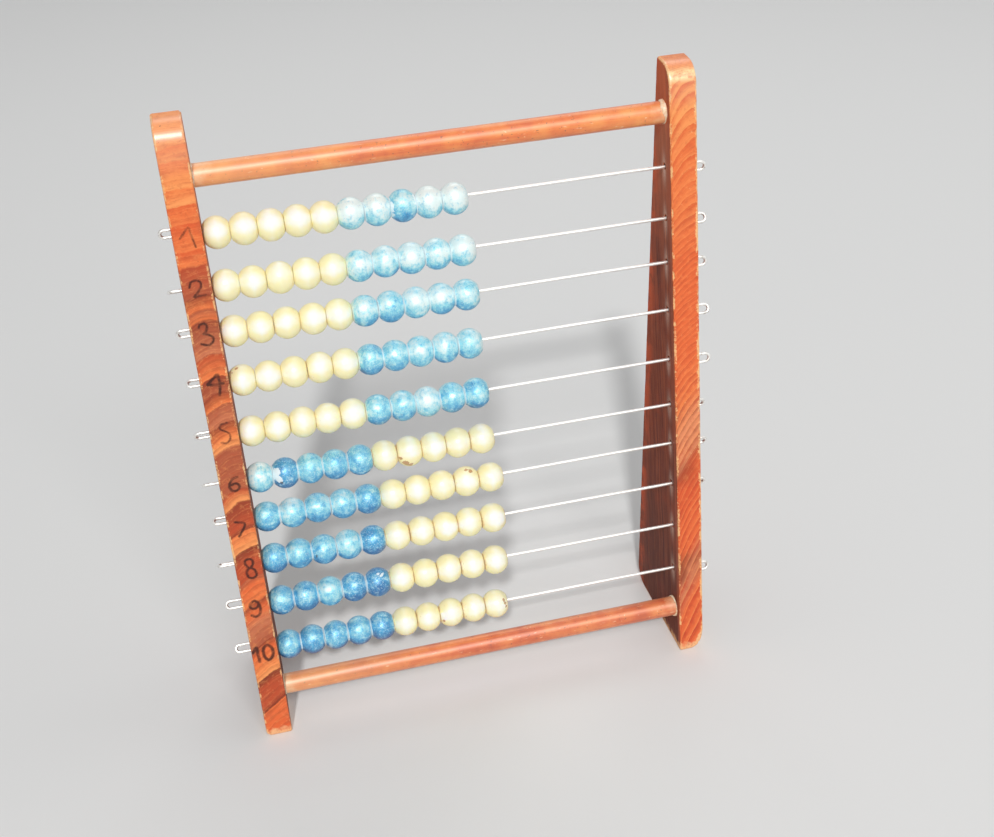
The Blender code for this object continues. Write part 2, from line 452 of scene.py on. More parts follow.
def stained(shifted, height, colour, grit):
    # What strip and faces share: worn edges, bare wood at the foot, specks and painted shade on the hole walls
    patchy = between(noise(shifted, 75.0, 5.0, 0.75), 0.40, 0.62, 0.55, 1.45)
    wear = field("edgeWear") * patchy + grit * 1.5 - 0.75
    colour = layered(colour, woodTones, ("worn", wear, 0.50, 0.95, 0.85))
    cloud = noise(shifted, 300.0, 4.0, 0.6)
    foot = between(height + cloud * 0.009 - 0.0045, woodSizes["bareFoot"], woodSizes["bareFoot"] * 0.3)
    foot = calc("MAXIMUM", foot, between(cloud * 0.8 + field("bare"), 0.62, 0.95))
    dirty = layered(woodTones["bare"], woodTones, ("brown", grit, 0.52, 0.70, 0.55))
    colour = mixed(foot * 0.85, colour, dirty)
    specks = noise(shifted, 640.0, 2.0, 0.7)
    return layered(colour, woodTones, ("speck", specks, 0.72, 0.77, 0.7), ("bore", field("bore")))


def stripWood(name, look, withNumbers):
    material = newMaterial(name, Coat_Roughness=0.33, Coat_IOR=1.9, Specular_IOR_Level=0.2)
    tones, sizes = woodTones, woodSizes
    shifted, x, depth, height = framePlaces(look["seedShift"])
    # The run along the rings is u = height - slope across + bend across squared, a little uneven
    across = x - look["middle"]
    run = height - across * upTheBoard(height, look["slopes"])
    run = run + across * across * upTheBoard(height, look["bends"])
    run = run + swing(shifted, 90.0, sizes["wander"]) + swing(shifted, 900.0, sizes["jitter"])
    start, end = (sizes["tableSplit"] + way * sizes["splitWidth"] / 2 for way in (-1, 1))
    zone = mixed(
        between(run, start, end), bandColours(run, look["lowerBands"]), bandColours(run, look["upperBands"])
    )
    ring = calc("FRACT", depth * sizes["ringsPerDepth"] + upTheBoard(run, look["rings"]))
    cloud = noise(shifted, 120.0, 3.0, 0.55)
    strength = upTheBoard(height, look["lines"]) * between(cloud, 0.30, 0.62, 0.45, 1.0)
    late = between(ring, look["lateStart"], 0.93) * strength
    early = between(ring, 0.22, 0.0) * strength
    colour = mixed(late, zone, tonesUp(height, look["ringTones"]))
    # Fine fibres lie along the rings
    fibres = noise(vector(run * 1400.0, across * 150.0, depth * 400.0), 1.0, 4.0, 0.6)
    blots = noise(shifted, 330.0, 4.0, 0.65)
    colour = layered(
        colour, tones, ("light", early * look["early"]), ("brick", fibres, 0.50, 0.74, 0.42),
        ("light", fibres, 0.48, 0.28, 0.36), ("dusk", cloud, 0.50, 0.75, 0.25),
        ("brick", blots, 0.54, 0.66, 0.26), ("light", blots, 0.46, 0.34, 0.22),
    )
    for middle, level, wide, high, deep in look["stains"]:
        away = vector((x - middle) * (1 / wide), (height - level) * (1 / high))
        near = reading("VectorMath", {0: away}, "Value", operation="LENGTH") + cloud
        colour = layered(colour, tones, ("dark", near, 1.7, 0.8, deep))
    scuffs = between(noise(shifted, 420.0, 4.0, 0.75), 0.62, 0.74, 0.0, 0.45)
    colour = mixed(scuffs, colour, tones["worn"])
    # A painted highlight over some rubbed varnish makes the round of the nose pale
    if look["noseWearAndHighlight"]:
        start, full, still, end = look["noseWearAndHighlight"]
        nose = between(height, start, full) * between(height, end, still) * between(depth, 0.0080, 0.0045)
        nose = nose * between(noise(shifted, 260.0, 4.0, 0.7), 0.34, 0.60, 0.15, 0.85)
        colour = mixed(nose, colour, tones["straw"])
    colour = stained(shifted, height, colour, noise(shifted, 1100.0, 3.0, 0.6))
    if withNumbers:
        strokeEdge = field("ink") + noise(shifted, 1300.0, 3.0, 0.7) * 0.9 - 0.45
        half = sizes["strokeHalfWidth"]
        faded = between(noise(shifted, 240.0, 2.0), 0.28, 0.58, 0.45, 1.0)
        colour = mixed(between(strokeEdge, half * 1.9, half * 0.5, 0.0, 0.88) * faded, colour, tones["ink"])
    roughness = between(fibres + scuffs, 0.3, 1.2, 0.38, 0.60)
    varnish = between(height, sizes["glossStart"], sizes["glossFull"], 0.10, 1.0)
    varnish = varnish * between(depth, 0.0100, 0.0055, 0.2, 1.0)
    return finished(material, colour, roughness, fibres * 0.6 - late * 0.4, sizes["bumpDepth"], varnish)


def faceWood(name, look):
    # Streaks run up the faces. The beads' knocks rub the stain pale round the wires.
    material = newMaterial(name, Specular_IOR_Level=0.04)
    shifted, x, depth, height = framePlaces(look["seedShift"])
    lengthwise = depth - height * 0.035 + noise(shifted, 28.0, 2.0) * 0.007
    streaks = noise(vector(x * 60.0, lengthwise * 520.0, height * 13.0), 1.0, 4.0, 0.62)
    hairs = noise(vector(x * 90.0, lengthwise * 2300.0, height * 70.0), 1.0, 3.0, 0.65)
    # These stops are darker than the strip's tones: painted shade, as the light only grazes the faces
    stops = (
        (0.28, tint(98, 42, 26)), (0.45, tint(136, 62, 38)),
        (0.58, tint(160, 78, 48)), (0.78, tint(196, 110, 70)),
    )
    cloud = noise(shifted, 70.0, 4.0, 0.6)
    grit = noise(shifted, 1000.0, 3.0, 0.6)
    # The stain is paler along the front strip, a painted reflection, and red where the back edge is worn
    along = streaks * between(depth, 0.0075, 0.0018)
    slope = (boardShape["topDepth"] - boardShape["footDepth"]) / frameSizes["boardHeight"]["right"]
    fromBack = height * slope + boardShape["footDepth"] - depth
    worn = between(fromBack, 0.0120, 0.0015) * between(cloud, 0.44, 0.56, 0.25, 1.0)
    rub = field("rub") * between(hairs * 0.9 + grit * 0.35, 0.50, 0.72, 0.25, 1.0)
    # Painted light and shade: browner and paler near the top, and darkest near the foot, as the light falls off
    # down the board
    colour = layered(
        colourRamp(streaks, stops), woodTones,
        ("brick", cloud, 0.48, 0.72, 0.4), ("dark", cloud, 0.46, 0.28, 0.4),
        ("rose", height, 0.19, 0.27, 0.60), ("ember", height, 0.258, 0.282, 0.45),
        ("ink", height, 0.13, 0.02, 0.55), ("dark", hairs, 0.55, 0.72, 0.6), ("rose", hairs, 0.42, 0.30, 0.28),
        ("dusk", along, 0.18, 0.58, 0.85), ("red", worn * 0.75), ("rubbed", rub * 0.9),
    )
    colour = stained(shifted, height, colour, grit)
    roughness = between(hairs + rub, 0.3, 1.4, 0.42, 0.68)
    return finished(material, colour, roughness, streaks * 0.6 + hairs * 0.6, woodSizes["bumpDepth"])


# Side boards. A board is its wedge outline carried across its thickness, with rounded long edges,
# and two flat faces that are stretched between the outline's four sides.
boardShape = {
    "topDepth": 0.0152,
    "footDepth": 0.06676,
    "topRise": 0.0025,  # the top cut rises this much from front to back
    "cornerRadii": (0.0015, 0.0095, 0.0020, 0.0095),  # toe, nose, crown and heel
    "edgeRadius": 0.0009,
    "edgeSteps": 4,
    "alongSteps": {"left": 620, "right": 420},
    "crossSteps": 28,
    "flatSteps": {"left": 30, "right": 18},
    "arcKnots": 24,
    "unevenDepth": 0.00007,
    "unevenLengths": (0.061, 0.037, 0.023, 0.0131),
    "nickDepth": 0.00042,
    "nickCount": 70,
    "cornerReach": {"left": (0.0024, 0.0034), "right": (0.0066, 0.0104)},
    # How far the worn flecks reach in from the long edges
    "wearReach": {"left": {"inner": 0.0004, "outer": 0.0005}, "right": {"inner": 0.0005, "outer": 0.0014}},
    "wearWeight": {"left": {"inner": 0.52, "outer": 0.60}, "right": {"inner": 0.58, "outer": 0.82}},
    "wearBase": 0.85,  # its share where the rounded edge ends, full in the middle of the round
    "rubStep": (0.0006, -0.0010),  # from a wire to the middle of its rub mark
    "rubReach": (0.0021, 0.0058),
    "noInk": 5.0,  # millimetres from any pen stroke
    "wornDepths": (0.003, 0.034),  # the toe's worn corner gets smaller between these depths
    "wornLoss": 0.8,
    "wornWaves": (0.0071, 0.0043, 0.0029),
    "wornUneven": 0.10,
    # The least share of a normal along X on flat faces and at rub marks, and forward where the pen writes
    "flatLimit": 0.97,
    "rubLimit": 0.9,
    "strokeLimit": 0.5,
}
drilling = {
    "dowelHoleRadius": 0.00480,
    "dowelHoleDepth": 0.00792,
    "wireHoleRadius": 0.00120,
    "wireHoleLift": 0.00020,  # the wire lies low in its hole
    "tipHoleRadius": 0.00082,
    "tipHoleDepth": 0.00570,
    "mouthFlare": 0.00022,
    "mouthDepth": 0.00035,
    "overrun": 0.0015,
    "sides": 28,
}


def roundedCorner(before, corner, after, radius, knots):
    # An arc that touches both sides of a corner: its centre lies on the halving line, and its
    # outward directions turn evenly from one side's to the other's.
    back, ahead = ((other - corner) / np.linalg.norm(other - corner) for other in (before, after))
    halfAngle = math.acos(float(back @ ahead)) / 2
    halving = (back + ahead) / np.linalg.norm(back + ahead)
    centre = corner + halving * radius / math.sin(halfAngle)
    start, end = ((corner + way * radius / math.tan(halfAngle) - centre) / radius for way in (back, ahead))
    turn = math.pi - 2 * halfAngle
    share = np.linspace(0, 1, 2 * knots + 1)[:, None]
    outward = (np.sin((1 - share) * turn) * start + np.sin(share * turn) * end) / math.sin(turn)
    return centre + radius * outward, outward


def boardOutline(shape, height, alongSteps, crossSteps):
    # Points and outward directions of the wedge outline: up the front, over the top, down the back
    # and along the foot, with the sides meeting in the middles of the arcs.
    foot = (shape["footDepth"], shape["footDepth"] * math.tan(lean))
    corners = np.array([(0.0, 0.0), (0.0, height - shape["topRise"]), (shape["topDepth"], height), foot])
    knots = shape["arcKnots"]
    arcs = [
        roundedCorner(corners[k - 1], corners[k], corners[(k + 1) % 4], shape["cornerRadii"][k], knots)
        for k in range(4)
    ]
    ringPoints, ringOutward = [], []
    for k, steps in enumerate((alongSteps, crossSteps, alongSteps, crossSteps)):
        arcPairs = zip(arcs[k], arcs[(k + 1) % 4])
        points, outward = (np.concatenate([here[knots:], there[: knots + 1]]) for here, there in arcPairs)
        run = runAlong(points)
        even = np.linspace(0, 1, steps + 1)
        crowded = (1 - np.cos(math.pi * even)) / 2
        share = even if k % 2 == 0 else crowded * 0.8 + even * 0.2
        places = share[:-1] * run[-1]
        ringPoints.append(np.stack([np.interp(places, run, points[:, axis]) for axis in (0, 1)], -1))
        turned = np.stack([np.interp(places, run, outward[:, axis]) for axis in (0, 1)], -1)
        ringOutward.append(turned / np.linalg.norm(turned, axis=1, keepdims=True))
    return np.concatenate(ringPoints), np.concatenate(ringOutward)


def stretchedFace(ring, alongSteps, crossSteps):
    # A flat face between four sides: the mean of both pairs of facing sides, less the corners'
    # own mean, so that its border lies exactly on the outline.
    closed = np.concatenate([ring, ring[:1]])
    front = closed[: alongSteps + 1]
    top = closed[alongSteps : alongSteps + crossSteps + 1]
    back = closed[alongSteps + crossSteps : 2 * alongSteps + crossSteps + 1][::-1]
    foot = closed[2 * alongSteps + crossSteps :][::-1]
    up = np.linspace(0, 1, alongSteps + 1)[:, None, None]
    over = np.linspace(0, 1, crossSteps + 1)[None, :, None]
    sides = (1 - over) * front[:, None] + over * back[:, None] + (1 - up) * foot[None] + up * top[None]
    low, high = (1 - over) * front[0] + over * back[0], (1 - over) * front[-1] + over * back[-1]
    return sides - (1 - up) * low - up * high


def borderNumbers(alongSteps, crossSteps):
    # Which outline point each border point of a stretched face is, and -1 inside it
    count = 2 * (alongSteps + crossSteps)
    numbers = np.full((alongSteps + 1, crossSteps + 1), -1)
    numbers[:, 0] = np.arange(alongSteps + 1)
    numbers[-1, :] = alongSteps + np.arange(crossSteps + 1)
    numbers[:, -1] = 2 * alongSteps + crossSteps - np.arange(alongSteps + 1)
    numbers[0, 1:] = (count - np.arange(1, crossSteps + 1)) % count
    return numbers


def edgeNicks(run, total, shape, seed, chosen):
    # Depth of small knocks along one edge: a sum of bell curves at drawn and chosen places
    draw, count = np.random.default_rng(seed), shape["nickCount"]
    places, widths = draw.uniform(0, total, count), draw.uniform(0.0006, 0.0020, count)
    depths = draw.uniform(0.1, 1.0, count) ** 2.2 * shape["nickDepth"]
    places, widths, depths = np.concatenate([np.stack([places, widths, depths]), np.transpose(chosen)], 1)
    away = (run[:, None] - places + total / 2) % total - total / 2
    return (depths * np.exp(-((away / widths) ** 2))).sum(1)


def smoothStroke(knots):
    # A curve through the knots that leaves each one in the direction between its two neighbours
    closed = np.allclose(knots[0], knots[-1])
    before = knots[-2] if closed else 2 * knots[0] - knots[1]
    after = knots[1] if closed else 2 * knots[-1] - knots[-2]
    a, b, c, d = (np.vstack([before, knots, after])[k : len(knots) - 1 + k] for k in range(4))
    t = np.linspace(0, 1, 8, endpoint=False)[:, None, None]
    points = b + (c - a) * t / 2 + (2 * a - 5 * b + 4 * c - d) * t**2 / 2 + (3 * b - a - 3 * c + d) * t**3 / 2
    return np.concatenate([points.transpose(1, 0, 2).reshape(-1, 2), knots[-1:]])


def strokeDistance(points, strokes):
    # Distance in millimetres from each point to the nearest piece of any pen stroke
    nearest = np.full(len(points), boardShape["noInk"])
    for stroke in strokes.split("/"):
        line = smoothStroke(np.reshape(stroke.split(), (-1, 2)).astype(float))
        for start, end in zip(line[:-1], line[1:]):
            piece = end - start
            share = np.clip((points - start) @ piece / (piece @ piece + 1e-9), 0, 1)
            nearest = np.minimum(nearest, np.linalg.norm(points - start - share[:, None] * piece, axis=1))
    return nearest


# The numbers' pen strokes, as x, y, x, y and so on, in millimetres from the middle of the edge and
# above the row's wire. A / lifts the pen.
numberStrokes = {
    1: "-2.9 1.2 -0.9 3.4 1 5.3 1.5 2.6 2 0 2.6 -3",
    2: "-2.8 3.4 -2 5.4 -0.1 6.1 1.7 5.2 1.8 3.5 0.5 1.5 -1.5 -0.7 0.3 -0.6 3.1 -0.6",
    3: (
        "-2.2 6 -1.4 7.2 0.3 7.5 1.2 6.3 0.5 4.2 -0.7 3.1 / "
        "-0.7 3.1 1.3 2.4 2.8 1 2.5 -0.8 0.6 -2 -2.2 -1.2"
    ),
    4: "1.5 6.9 -0.7 5.2 -2.9 3.2 / -2.9 3.2 0.3 2.6 3.5 2.9 / 1.9 6.9 2.1 4 1.9 1 1.2 -2.1",
    5: "2.2 8.8 -0.6 8.2 -1.2 6.4 0.4 5.2 2.2 3.6 2.2 1.2 0.6 -0.6 -1.6 0",
    6: "2.2 5.4 0.4 5 -1.1 3.5 -1.8 1.3 -1 -0.6 0.7 -1.1 2.2 0 2.3 1.6 1 2.5 -0.9 2",
    7: "-2.4 4 -0.6 3.5 1.2 3 1.7 1.9 0.9 0.2 -0.3 -1.6 -1.6 -3.4",
    8: (
        "0.4 1.3 -1.1 3 -1.2 5.1 0.3 6 1.9 5.2 2 3.1 0.4 1.3 / "
        "0.4 1.3 -1.2 -0.4 -0.9 -3.1 0.9 -4 2.7 -2.9 2.4 -0.2 0.4 1.3"
    ),
    9: (
        "0.9 5.9 -0.5 6.7 -2.2 5.6 -2.6 3.9 -1.4 2.7 0.4 3.2 1.3 4.8 / "
        "0.9 5.9 1.6 4 1.7 1.6 0.9 -0.7 -0.9 -1.6 -2.6 -0.5"
    ),
    10: (
        "-5.4 3.6 -4.4 4.9 -3.2 6.1 -3.1 3 -3 0.4 -2.9 -1.8 / "
        "1.4 6.4 -0.2 4.9 -0.6 2.2 0 -0.4 1.5 -1.7 3.2 0 3.8 2.6 3.2 5.2 1.4 6.4"
    ),
}
# How pale each number is, as millimetres taken off its pen stroke
penFading = (0.24, 0.12, 0.10, -0.04, 0.18, 0.02, 0.04, 0.02, -0.04, -0.14)

# Wires. Each ends outside both boards in a hairpin whose tip is driven back into the wood.
wireShape = {
    "radius": 0.00070,
    "beadPlay": 0.00066435,  # the beads hang this far below their wire
    "reach": 0.00786,
    "innerWidth": {"left": 0.0019, "right": 0.0024},
    "drivenDepth": 0.0054,
    "reachShares": {
        "left": (0.68, 0.80, 0.76, 0.77, 0.87, 1.00, 0.80, 1.00, 1.00, 0.95),
        "right": (0.85, 0.82, 0.84, 0.95, 1.00, 0.66, 0.77, 0.65, 0.48, 0.76),
    },
    "twistDegrees": {
        "left": (-10, 112, -16, 60, -28, 118, 68, 108, 25, 30),
        "right": (170, 205, 182, 205, 192, 163, 155, 153, 130, 196),
    },
    "bendSteps": 14,
    "straightSteps": 60,
    "sides": 14,
    "waver": 0.00006,
    "waverRate": (30, 55),
    "still": 0.02,  # it wavers less and less over this length before a board
    "seed": 100,
    "tipShare": 0.55,  # how wide the driven tips are
}


def wirePlace(row):
    # Depth and height of a wire in the leaning frame, from the middle of its first bead solid
    x, y, z = boxMiddle(f"row_{row:02d}_beads_01_02")
    y, z = y + toeSetForward, z + wireShape["beadPlay"]
    return np.array([y * math.cos(lean) - z * math.sin(lean), y * math.sin(lean) + z * math.cos(lean)])


def legStep(side, row):
    # From the wire to its driven tip, across the board: 0 degrees is above it and 90 behind it
    twist = math.radians(wireShape["twistDegrees"][side][row - 1])
    gap = wireShape["innerWidth"][side] + 2 * wireShape["radius"]
    return np.array([math.sin(twist), math.cos(twist)]) * gap


depthWay, heightWay = np.array([[0.0, 1.0, 0.0]]), np.array([[0.0, 0.0, 1.0]])


def drillBits(side):
    # One closed cutter for each hole: a turned peg along X, a little wider where it leaves the wood
    way, cut = wayOf[side], drilling
    inner, outer = boardFaces(side)
    beyondInner, beyondOuter = inner - way * cut["overrun"], outer + way * cut["overrun"]
    flare, mouth = cut["mouthFlare"], way * cut["mouthDepth"]
    bits = []
    for height in (frameSizes["bottomDowelHeight"], frameSizes["topDowelHeight"]):
        radius = cut["dowelHoleRadius"]
        ends = (beyondInner, inner, inner + way * cut["dowelHoleDepth"])
        bits.append((frameSizes["dowelDepth"], height, [(end, radius) for end in ends]))
    for row in rowNumbers:
        depth, height = wirePlace(row)
        radius, lift = cut["wireHoleRadius"], cut["wireHoleLift"]
        wide = radius + flare
        bits.append((depth - math.sin(lean) * lift, height + math.cos(lean) * lift, [
            (beyondInner, wide), (inner, wide), (inner + mouth, radius),
            (outer - mouth, radius), (outer, wide), (beyondOuter, wide),
        ]))
        step, radius = legStep(side, row), cut["tipHoleRadius"]
        wide = radius + flare / 2
        bits.append((depth + step[0], height + step[1], [
            (outer - way * cut["tipHoleDepth"], radius), (outer - mouth / 2, radius), (outer, wide),
            (beyondOuter, wide),
        ]))
    points, quads, caps, first = [], [], [], 0
    for depth, height, knots in bits:
        path = np.array([(x, depth, height) for x, radius in knots])
        radii = np.array([radius for x, radius in knots])
        points.append(toWorld(carriedCircle(path, radii, depthWay, heightWay, cut["sides"])).reshape(-1, 3))
        # A knot order that runs against X gives a peg that is inside out, so its faces are turned
        facing = 1 if knots[-1][0] > knots[0][0] else -1
        around, ends = tubeFaces(len(knots), cut["sides"], first)
        quads.append(around[:, ::facing])
        caps.append(ends[:, ::facing])
        first += len(knots) * cut["sides"]
    # The cutters' faces become the hole walls, and the bore field marks them for painted shade
    faceSets, fields = [np.concatenate(quads), np.concatenate(caps)], {"bore": 1.0, "ink": boardShape["noInk"]}
    return buildMesh(f"{side}Drilling", np.concatenate(points), faceSets, fields)


def drill(mesh, bits):
    # The board's mesh with the holes taken out
    solid, cutter = addObject("undrilled", mesh), addObject("drillBits", bits)
    cut = solid.modifiers.new("holes", "BOOLEAN")
    cut.operation = "DIFFERENCE"
    cut.solver = "MANIFOLD"
    cut.object = cutter
    graph = bpy.context.evaluated_depsgraph_get()
    whole = solid.evaluated_get(graph)
    drilled = bpy.data.meshes.new_from_object(whole, preserve_all_data_layers=True, depsgraph=graph)
    for made in (solid, cutter):
        bpy.data.objects.remove(made)
    return drilled


def wornCorner(points, side, seed):
    # Rounds the outer corner of the toe, most at the front: inside a box at the corner, with both
    # distances as shares of the box, (u, v) becomes (u, v) max(u, v) / length(u, v).
    way, shape, outer = wayOf[side], boardShape, boardFaces(side)[1]
    x, depth, height = points.T
    smaller = 1 - shape["wornLoss"] * smoothStep(depth, *shape["wornDepths"])
    uneven = smaller * (1 + shape["wornUneven"] * waves(points, shape["wornWaves"], seed))
    acrossReach, upReach = (reach * uneven for reach in shape["cornerReach"][side])
    u = np.clip(1 - way * (outer - x) / acrossReach, 0, 1)
    v = np.clip(1 - (height - depth * math.tan(lean)) / upReach, 0, 1)
    larger, length = np.maximum(u, v), np.hypot(u, v)
    keep = np.where(length > 0, larger / np.maximum(length, 1e-9), 1)
    moved = points.copy()
    moved[:, 0] -= way * acrossReach * u * (1 - keep)
    moved[:, 2] += upReach * v * (1 - keep)
    return moved, smoothStep(larger, 0.45, 0.95) * smoothStep(np.minimum(u, v), 0.0, 0.25)


def makeBoard(side, materials, seed, chosenNicks):
    way, shape, inner = wayOf[side], boardShape, boardFaces(side)[0]
    thickness, rounding = frameSizes["boardThickness"], shape["edgeRadius"]
    alongSteps, crossSteps = shape["alongSteps"][side], shape["crossSteps"]
    outline, outward = boardOutline(shape, frameSizes["boardHeight"][side], alongSteps, crossSteps)
    count = len(outline)

    # Across the thickness: a quarter round, a straight run and a quarter round
    angle = np.linspace(0, math.pi / 2, shape["edgeSteps"] + 1)
    flat = np.linspace(rounding, thickness - rounding, shape["flatSteps"][side] + 1)[1:-1]
    arcAcross, arcInset = rounding * (1 - np.cos(angle)), rounding * (1 - np.sin(angle))
    across = np.concatenate([arcAcross, flat, thickness - arcAcross[::-1]])
    inset = np.concatenate([arcInset, np.zeros_like(flat), arcInset[::-1]])
    # The tilt is 0 where the strip faces the beads and half a turn where it faces away
    tilt = np.concatenate([angle, np.full_like(flat, math.pi / 2), math.pi - angle[::-1]])
    columns = len(across)
    strip, facing = np.empty((2, count, columns, 3))
    strip[..., 0] = inner + way * across
    strip[..., 1:] = outline[:, None] - inset[None, :, None] * outward[:, None]
    facing[..., 0] = -way * np.cos(tilt)
    facing[..., 1:] = np.sin(tilt)[None, :, None] * outward[:, None]

    # Both faces, whose borders are the strip's first and last columns
    border = borderNumbers(alongSteps, crossSteps)
    inside = border < 0
    points, normals = [strip.reshape(-1, 3)], [facing.reshape(-1, 3)]
    faceSets = [gridFaces(count, columns, wrapRows=True)]
    first = count * columns
    for column in (0, columns - 1):
        sheet = stretchedFace(strip[:, column, 1:], alongSteps, crossSteps)
        numbers = np.where(inside, 0, border * columns + column)
        numbers[inside] = first + np.arange(inside.sum())
        first += inside.sum()
        points.append(np.column_stack([np.full(inside.sum(), strip[0, column, 0]), sheet[inside]]))
        normals.append(np.tile(facing[0, column], (inside.sum(), 1)))
        faces = numbers.ravel()[gridFaces(alongSteps + 1, crossSteps + 1)]
        faceSets.append(faces[:, ::-1] if column == 0 else faces)
    points, normals = np.concatenate(points), np.concatenate(normals)

    # Small unevenness everywhere and knocks along the long edges, always into the wood
    uneven = unevenness(points, shape, seed)
    run = runAlong(outline)
    total = run[-1] + np.linalg.norm(outline[-1] - outline[0])
    knock = np.zeros((count, columns))
    steps = shape["edgeSteps"] + 1
    weight = np.sin(2 * angle)
    knock[:, :steps] = edgeNicks(run, total, shape, seed + 1, chosenNicks["inner"])[:, None] * weight
    knock[:, -steps:] = edgeNicks(run, total, shape, seed + 2, chosenNicks["outer"])[:, None] * weight[::-1]
    inFaces = np.zeros(len(points) - knock.size)
    allKnocks = np.concatenate([knock.ravel(), inFaces])
    shaped, bare = wornCorner(points + normals * (uneven - allKnocks)[:, None], side, seed + 5)

    # Fields that the wood reads: wear, bare wood, rub marks round the wires and the pen's strokes
    reach, most = shape["wearReach"][side], shape["wearWeight"][side]
    fromInner = most["inner"] * np.exp(-(flat - rounding) / reach["inner"])
    fromOuter = most["outer"] * np.exp(-(thickness - rounding - flat) / reach["outer"])
    base = shape["wearBase"]
    rounded, flatWear = base + (1 - base) * weight, base * (fromInner + fromOuter)
    wear = np.concatenate([rounded * most["inner"], flatWear, rounded[::-1] * most["outer"]])
    wear = np.concatenate([np.tile(wear, count), inFaces]) + allKnocks / shape["nickDepth"]
    rub, ink = np.zeros(len(points)), np.full(len(points), shape["noInk"])
    middle = inner + way * thickness / 2
    facesBeads = normals[:, 0] * -way > shape["rubLimit"]
    frontEdge = (normals[:, 1] < -shape["strokeLimit"]) & (np.abs(points[:, 0] - middle) < thickness / 2)
    for row in rowNumbers:
        depth, height = wirePlace(row)
        fromWire = (points[:, 1:] - (depth, height) - shape["rubStep"]) / shape["rubReach"]
        rub = np.maximum(rub, facesBeads * np.exp(-(fromWire**2).sum(1)))
        if side == "left":
            onEdge = (points[frontEdge][:, ::2] - (middle, height)) * 1000
            stroke = strokeDistance(onEdge, numberStrokes[row]) + penFading[row - 1]
            ink[frontEdge] = np.minimum(ink[frontEdge], stroke)
    fields = {"edgeWear": wear, "rub": rub, "ink": ink, "bare": bare, "bore": 0.0}
    drilled = drill(buildMesh(f"{side}Board", toWorld(shaped), faceSets, fields), drillBits(side))
    addPiece(f"{side}Board", drilled, materials, frameBody, [f"{side}_board"])
    # Flat faces take the second material
    facing = np.empty(len(drilled.polygons) * 3)
    drilled.polygons.foreach_get("normal", facing)
    drilled.polygons.foreach_set("material_index", (np.abs(facing[::3]) > shape["flatLimit"]).astype(np.int32))


# Chosen knocks, as places up the edge, widths and depths in metres
knocks = {
    "left": {
        "inner": ((0.034, 0.0014, 0.0004), (0.056, 0.0011, 0.0004), (0.102, 0.0010, 0.0003)),
        "outer": ((0.103, 0.0018, 0.0004), (0.130, 0.0012, 0.0003)),
    },
    "right": {
        "inner": ((0.198, 0.0012, 0.0005), (0.226, 0.0010, 0.0004), (0.262, 0.0016, 0.0004)),
        "outer": (
            (0.276, 0.0011, 0.0003), (0.260, 0.0012, 0.0003), (0.245, 0.0014, 0.0005), (0.236, 0.0010, 0.0003),
            (0.213, 0.0022, 0.0008), (0.167, 0.0018, 0.0006), (0.134, 0.0012, 0.0004), (0.112, 0.0014, 0.0004),
        ),
    },
}
for side, seed in (("left", 21), ("right", 47)):
    look = woodLooks[side]
    woods = (stripWood(side + "StripWood", look, side == "left"), faceWood(side + "FaceWood", look))
    makeBoard(side, woods, seed, knocks[side])
print("boards made")

# Dowels: round bars with faint turning marks, their grain along X
dowelShape = {
    "radius": 0.00475,
    "end": 0.10462,  # where it stops inside the board
    "chamfer": 0.0006,
    "alongSteps": 300,
    "sides": 56,
    "unevenDepth": 0.00005,
    "unevenLengths": (0.09, 0.041, 0.017, 0.008),
}
dowelLook = {
    # The pale tone is a painted highlight towards the left board
    **tints(glue=(250, 218, 172), speck=(130, 62, 34), scratch=(253, 220, 178), pale=(252, 190, 122)),
    "bump": 0.00006,
    "glueStart": 0.0905,  # from the middle to where the smeared glue begins
    "glueFull": 0.0985,
}


def dowelWood(name, tones, seedShift):
    material = newMaterial(
        name, Coat_Weight=0.9, Coat_Roughness=0.46, Coat_IOR=1.95, Specular_IOR_Level=0.6,
        Specular_Tint=tint(255, 222, 186),
    )
    look = {**dowelLook, **tones}
    places = objectPlaces()
    x = split(places)[0]
    shifted = mapped(places, Location=(seedShift, 0, 0))
    grain = noise(mapped(shifted, Scale=(9, 330, 330)), 1.0, 3.0, 0.55)
    hairs = noise(mapped(shifted, Scale=(60, 2200, 2200)), 1.0, 3.0, 0.6)
    patch = noise(shifted, 75.0, 4.0, 0.6)
    dots = noise(shifted, 620.0, 2.0, 0.75)
    scuffAt = mapped(shifted, Rotation=(0, 0, 0.4), Scale=(240, 1400, 900))
    scuffs = between(noise(scuffAt, 1.0, 2.0, 0.5), 0.67, 0.76, 0.0, 0.55)
    smeared = calc("ABSOLUTE", x) + patch * 0.030 - 0.015
    smeared = between(smeared, look["glueStart"], look["glueFull"], 0.0, 0.50)
    smeared = smeared * between(hairs, 0.30, 0.60, 0.6, 1.0)
    stops = ((0.34, look["dark"]), (0.47, look["middle"]), (0.66, look["light"]))
    # Paler towards the left board, a painted highlight, and glue smeared along both ends
    colour = layered(
        colourRamp(grain * 0.45 + patch * 0.55, stops), look, ("dark", hairs, 0.56, 0.74, 0.40),
        ("light", hairs, 0.46, 0.28, 0.45), ("speck", dots, 0.65, 0.71, 0.8),
        ("scratch", dots, 0.31, 0.25, 0.7), ("scratch", scuffs), ("pale", x, -0.010, -0.090, 0.38),
        ("glue", smeared),
    )
    roughness = between(hairs + scuffs, 0.3, 1.2, 0.42, 0.60)
    return finished(material, colour, roughness, grain * 0.5 + hairs, look["bump"])


